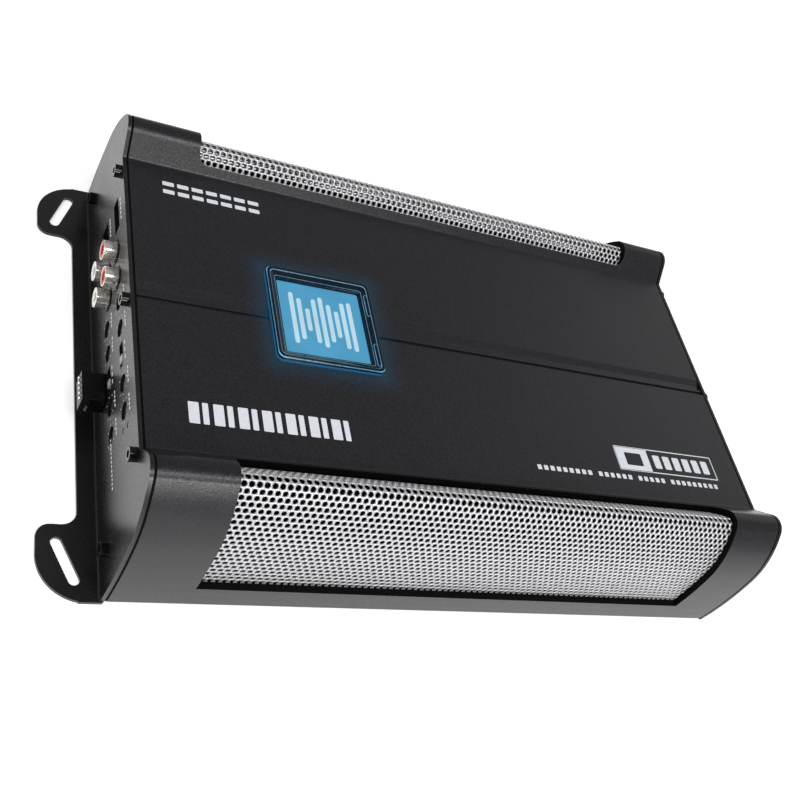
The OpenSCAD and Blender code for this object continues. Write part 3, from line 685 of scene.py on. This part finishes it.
def make_print():
    """Plain bars, blocks and a frame in white ink on the top panel."""
    bm = bmesh.new()

    def shape(outline, hole=None):
        slab(bm, outline, PANEL_TOP, lambda x, y, z: (x * MM, y * MM, z * MM), hole)

    def bar(x, y, width, height, radius=0.4):
        shape(block(x, x + width, y, y + height, radius))

    # upper left: seven cells of two level bars each
    for n in range(7):
        for y in (LINE_Y, LINE_Y + 4.7):
            bar(LINE_X + n * 6.4, y, 5, 2.3)
    # lower left: seven cells of a wide and a narrow bar each
    for n in range(7):
        x = TITLE_X + n * 9.65
        bar(x, TITLE_Y, 4.1, TITLE_H)
        bar(x + 5.4, TITLE_Y, 2.3, TITLE_H)
    # lower right: a frame, its left part filled round a dark square, and six plain blocks
    right, back, line = LABEL_X + LABEL_W, LABEL_Y + LABEL_H, 0.55
    shape(block(LABEL_X, right, LABEL_Y, back, 0.6),
          block(LABEL_X + line, right - line, LABEL_Y + line, back - line, 0.2))
    shape(block(LABEL_X + 0.3, LABEL_X + 19.9, LABEL_Y + 0.3, back - 0.3, 0.2),
          block(LABEL_X + 5.5, LABEL_X + 15.5, LABEL_Y + 3.1, back - 3.2, 0.6))
    for n in range(6):
        bar(LABEL_X + 22.9 + n * 6.2, LABEL_Y + 2.9, 4.2, 7.2, 0.6)
    # row of small plain bars in four groups beneath it
    x = FOOT_X
    for group in (9, 6, 5, 9):
        for _ in range(group):
            bar(x, FOOT_Y, 2.2, 2.4, 0.3)
            x += 3.5
        x += 2.6
    link(object_from(bm, "panel_print"), ["ink_white"])


def middle_of(node):
    """Middle (y, z) of a CAD node in mm."""
    low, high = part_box(node)
    return (low.y + high.y) / 2 / MM, (low.z + high.z) / 2 / MM


def make_panel_marks():
    """White ticks and small bars beside the holes of the control panel."""
    face_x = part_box("control_end_plate")[1].x / MM - PLATE
    bm = bmesh.new()

    def shape(outline):
        slab(bm, outline[::-1], 0, lambda y, z, lift: ((face_x - lift) * MM, y * MM, z * MM))

    def bars(y, z, count, pitch, width, height):
        for n in range(count):
            shape(block(y + n * pitch, y + n * pitch + width, z, z + height, 0.15))

    def ticks(y, z):
        """Seven ticks round a knob, from one end of its travel to the other."""
        for step in range(7):
            angle = -50 + step * 46.7
            a = on_arc((y, z), 4.5, angle)
            b = on_arc((y, z), 5.3, angle)
            side = ((b[1] - a[1]) * 0.22, -(b[0] - a[0]) * 0.22)
            shape([(a[0] - side[0], a[1] - side[1]), (b[0] - side[0], b[1] - side[1]),
                   (b[0] + side[0], b[1] + side[1]), (a[0] + side[0], a[1] + side[1])])

    for row in ("front", "rear"):
        for knob in ("gain", "high_pass", "low_pass", "bass"):
            y, z = middle_of(row + "_" + knob + "_knob")
            ticks(y, z)
            bars(y - 3.9, z + 6.2, 4, 2, 1.3, 1.1)
        y, z = middle_of(row + "_filter_switch")
        bars(y - 3, z + 4.2, 3, 3.4, 1.8, 1)
    for n in range(12):
        low_z = 22 + (n % 3) * 0.2
        bars(-70 + n * 1.9, low_z, 1, 0, 1.1, 23.4 - low_z)
    bars(42, 49.6, 5, 2.6, 1.7, 1.2)
    bars(46, 34.2, 5, 2.2, 1.4, 1.2)
    link(object_from(bm, "panel_marks"), ["ink_white"])


# ---------- small pieces ----------

def make_plug_contacts():
    """Bright crimp ends of the five contacts in the back of the harness plug."""
    low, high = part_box("harness_plug")
    middle_y = middle_of("harness_socket")[0]
    z = high.z / MM - 2.7
    bm = bmesh.new()
    for n in range(-2, 3):
        y = middle_y + n * 2.4
        outline = block(y - 0.6, y + 0.6, z - 0.75, z + 0.75, 0.25)
        back = [bm.verts.new((low.x + 2.5 * MM, a * MM, b * MM)) for a, b in outline]
        front = [bm.verts.new((low.x - 0.7 * MM, a * MM, b * MM)) for a, b in outline]
        for k in range(len(outline)):
            m = (k + 1) % len(outline)
            bm.faces.new((back[m], back[k], front[k], front[m]))
        bm.faces.new(front[::-1])
        bm.faces.new(back)
    link(object_from(bm, "harness_plug_contacts"), ["nickel"], "harness_plug")


def make_plate_screws():
    """The end-plate screws, with their hexagon sockets black as painted shade."""
    bm = mesh_of("end_plate_screws")
    axes = ((66.5, 53), (-3.4, 53), (-73.3, 53), (89.3, 13.2), (-89.3, 13.2))
    socket_r, socket_area, head_x = 1.56, 12, 150.1
    for face in bm.faces:
        centre = face.calc_center_median() / MM
        off_axis = min(math.dist((centre.y, centre.z), axis) for axis in axes)
        in_socket = off_axis < socket_r and face.calc_area() < socket_area * MM * MM
        size = max(math.dist((v.co.y / MM, v.co.z / MM), (centre.y, centre.z)) for v in face.verts)
        head_face = abs(face.normal.x) > 0.9 and size > 2
        # faces down in the sockets are black as painted shade in the recess
        face.material_index = 1 if in_socket and abs(centre.x) > head_x and not head_face else 0
    obj = object_from(bm, "plate_screws")
    smooth(obj)
    bevel(obj, 0.2)
    stand_in(obj, ["screw_black", "black_and_painted_shade"], "end_plate_screws")


# widths in mm of the rounded edges
EDGES = {
    "control_end_plate": 0.18, "power_end_plate": 0.18, "end_gaskets": 0.1,
    "bottom_cover": 0.2, "bottom_cover_screws": 0.1,
    "rca_shells": 0.12, "rca_red_inserts": 0.15, "rca_white_inserts": 0.15, "rca_contacts": 0.05,
    "speaker_input_socket": 0.1, "bass_remote_socket": 0.1, "harness_socket": 0.1,
    "harness_plug": 0.2, "front_filter_switch": 0.15, "rear_filter_switch": 0.15,
    "power_terminal_housing": 0.3, "power_terminal_contacts": 0.2, "speaker_terminal_housing": 0.25,
    "speaker_terminal_contacts": 0.15, "fuse_holder": 0.25, "fuse_left": 0.3, "fuse_right": 0.3,
    "badge_panel": 0.1, "badge_emblem": 0.06, "panel_lights": 0.15,
}


def make_rounded_pieces():
    """Every piece in EDGES, then the knobs and the terminal screws."""
    widths = dict(EDGES)
    for node in frame["nodes"]:
        if node.endswith("_knob"):
            widths[node] = 0.25
        elif "_screw_" in node:
            widths[node] = 0.12
    for node, width in widths.items():
        rounded_piece(node, width)


def paint_nodes():
    """The CAD nodes' own materials, seen on the ones that no piece replaces."""
    for node, obj in frame["nodes"].items():
        obj.data.materials.clear()
        obj.data.materials.append(MATERIALS[SLOTS[node]])


# ---------- stage ----------

def make_stage():
    bm = bmesh.new()
    bmesh.ops.create_grid(bm, x_segments=1, y_segments=1, size=6)
    floor = object_from(bm, "floor")
    mat, tree, shader = new_material("floor_paper")
    fibre = noise(tree, object_coords(tree), 30, 2)
    tree.links.new(blend(tree, fibre, 0.3, (0.86,) * 3, 0.7, (0.88,) * 3), shader.inputs["Base Color"])
    shader.inputs["Roughness"].default_value = 0.95
    shader.inputs["Specular IOR Level"].default_value = 0.1
    shader.inputs["Emission Color"].default_value = (1, 1, 1, 1)
    shader.inputs["Emission Strength"].default_value = 0.35
    floor.data.materials.append(mat)


def area_light(name, place, aim, size, power):
    data = bpy.data.lights.new(name, "AREA")
    data.shape = "RECTANGLE"
    data.size, data.size_y = size
    data.energy = power
    obj = bpy.data.objects.new(name, data)
    bpy.context.scene.collection.objects.link(obj)
    way = Vector(aim) - Vector(place)
    obj.matrix_world = Matrix.Translation(place) @ way.to_track_quat("-Z", "Y").to_matrix().to_4x4()
    return obj


def make_lights():
    """A soft white room: most light from the top, one bright strip over the crest of the front bulge."""
    world = bpy.data.worlds.new("studio")
    bpy.context.scene.world = world
    world.use_nodes = True
    sky = world.node_tree.nodes["Background"]
    sky.inputs["Color"].default_value = (1, 1, 1, 1)
    sky.inputs["Strength"].default_value = 0.3
    top = area_light("top", (-0.9, -0.3, 2.0), (0, 0, 0), (2.2, 2.2), 26)
    top.visible_glossy = False
    area_light("overhead", (0.2, -0.9, 1.8), (0, 0, 0.03), (1.0, 0.5), 14)
    area_light("front", (0.3, -1.6, 0.85), (0, 0, 0.03), (0.7, 0.35), 13)
    area_light("rear", (1.7, 0.8, 0.95), (0.15, 0, 0.03), (1.2, 0.9), 1.2)
    area_light("left", (-1.5, 0.1, 0.7), (0, 0, 0.03), (1.0, 0.8), 2.5)
    settings = bpy.context.scene.view_settings
    settings.view_transform = "Standard"
    settings.look = "None"


make_camera()
make_stage()
make_lights()
paint_nodes()
make_rounded_pieces()
make_case()
make_plate_screws()
make_grille("grille_front", -1)
make_grille("grille_rear", 1)
make_bezel()
make_bezel_slots()
make_plug_contacts()
make_print()
make_panel_marks()
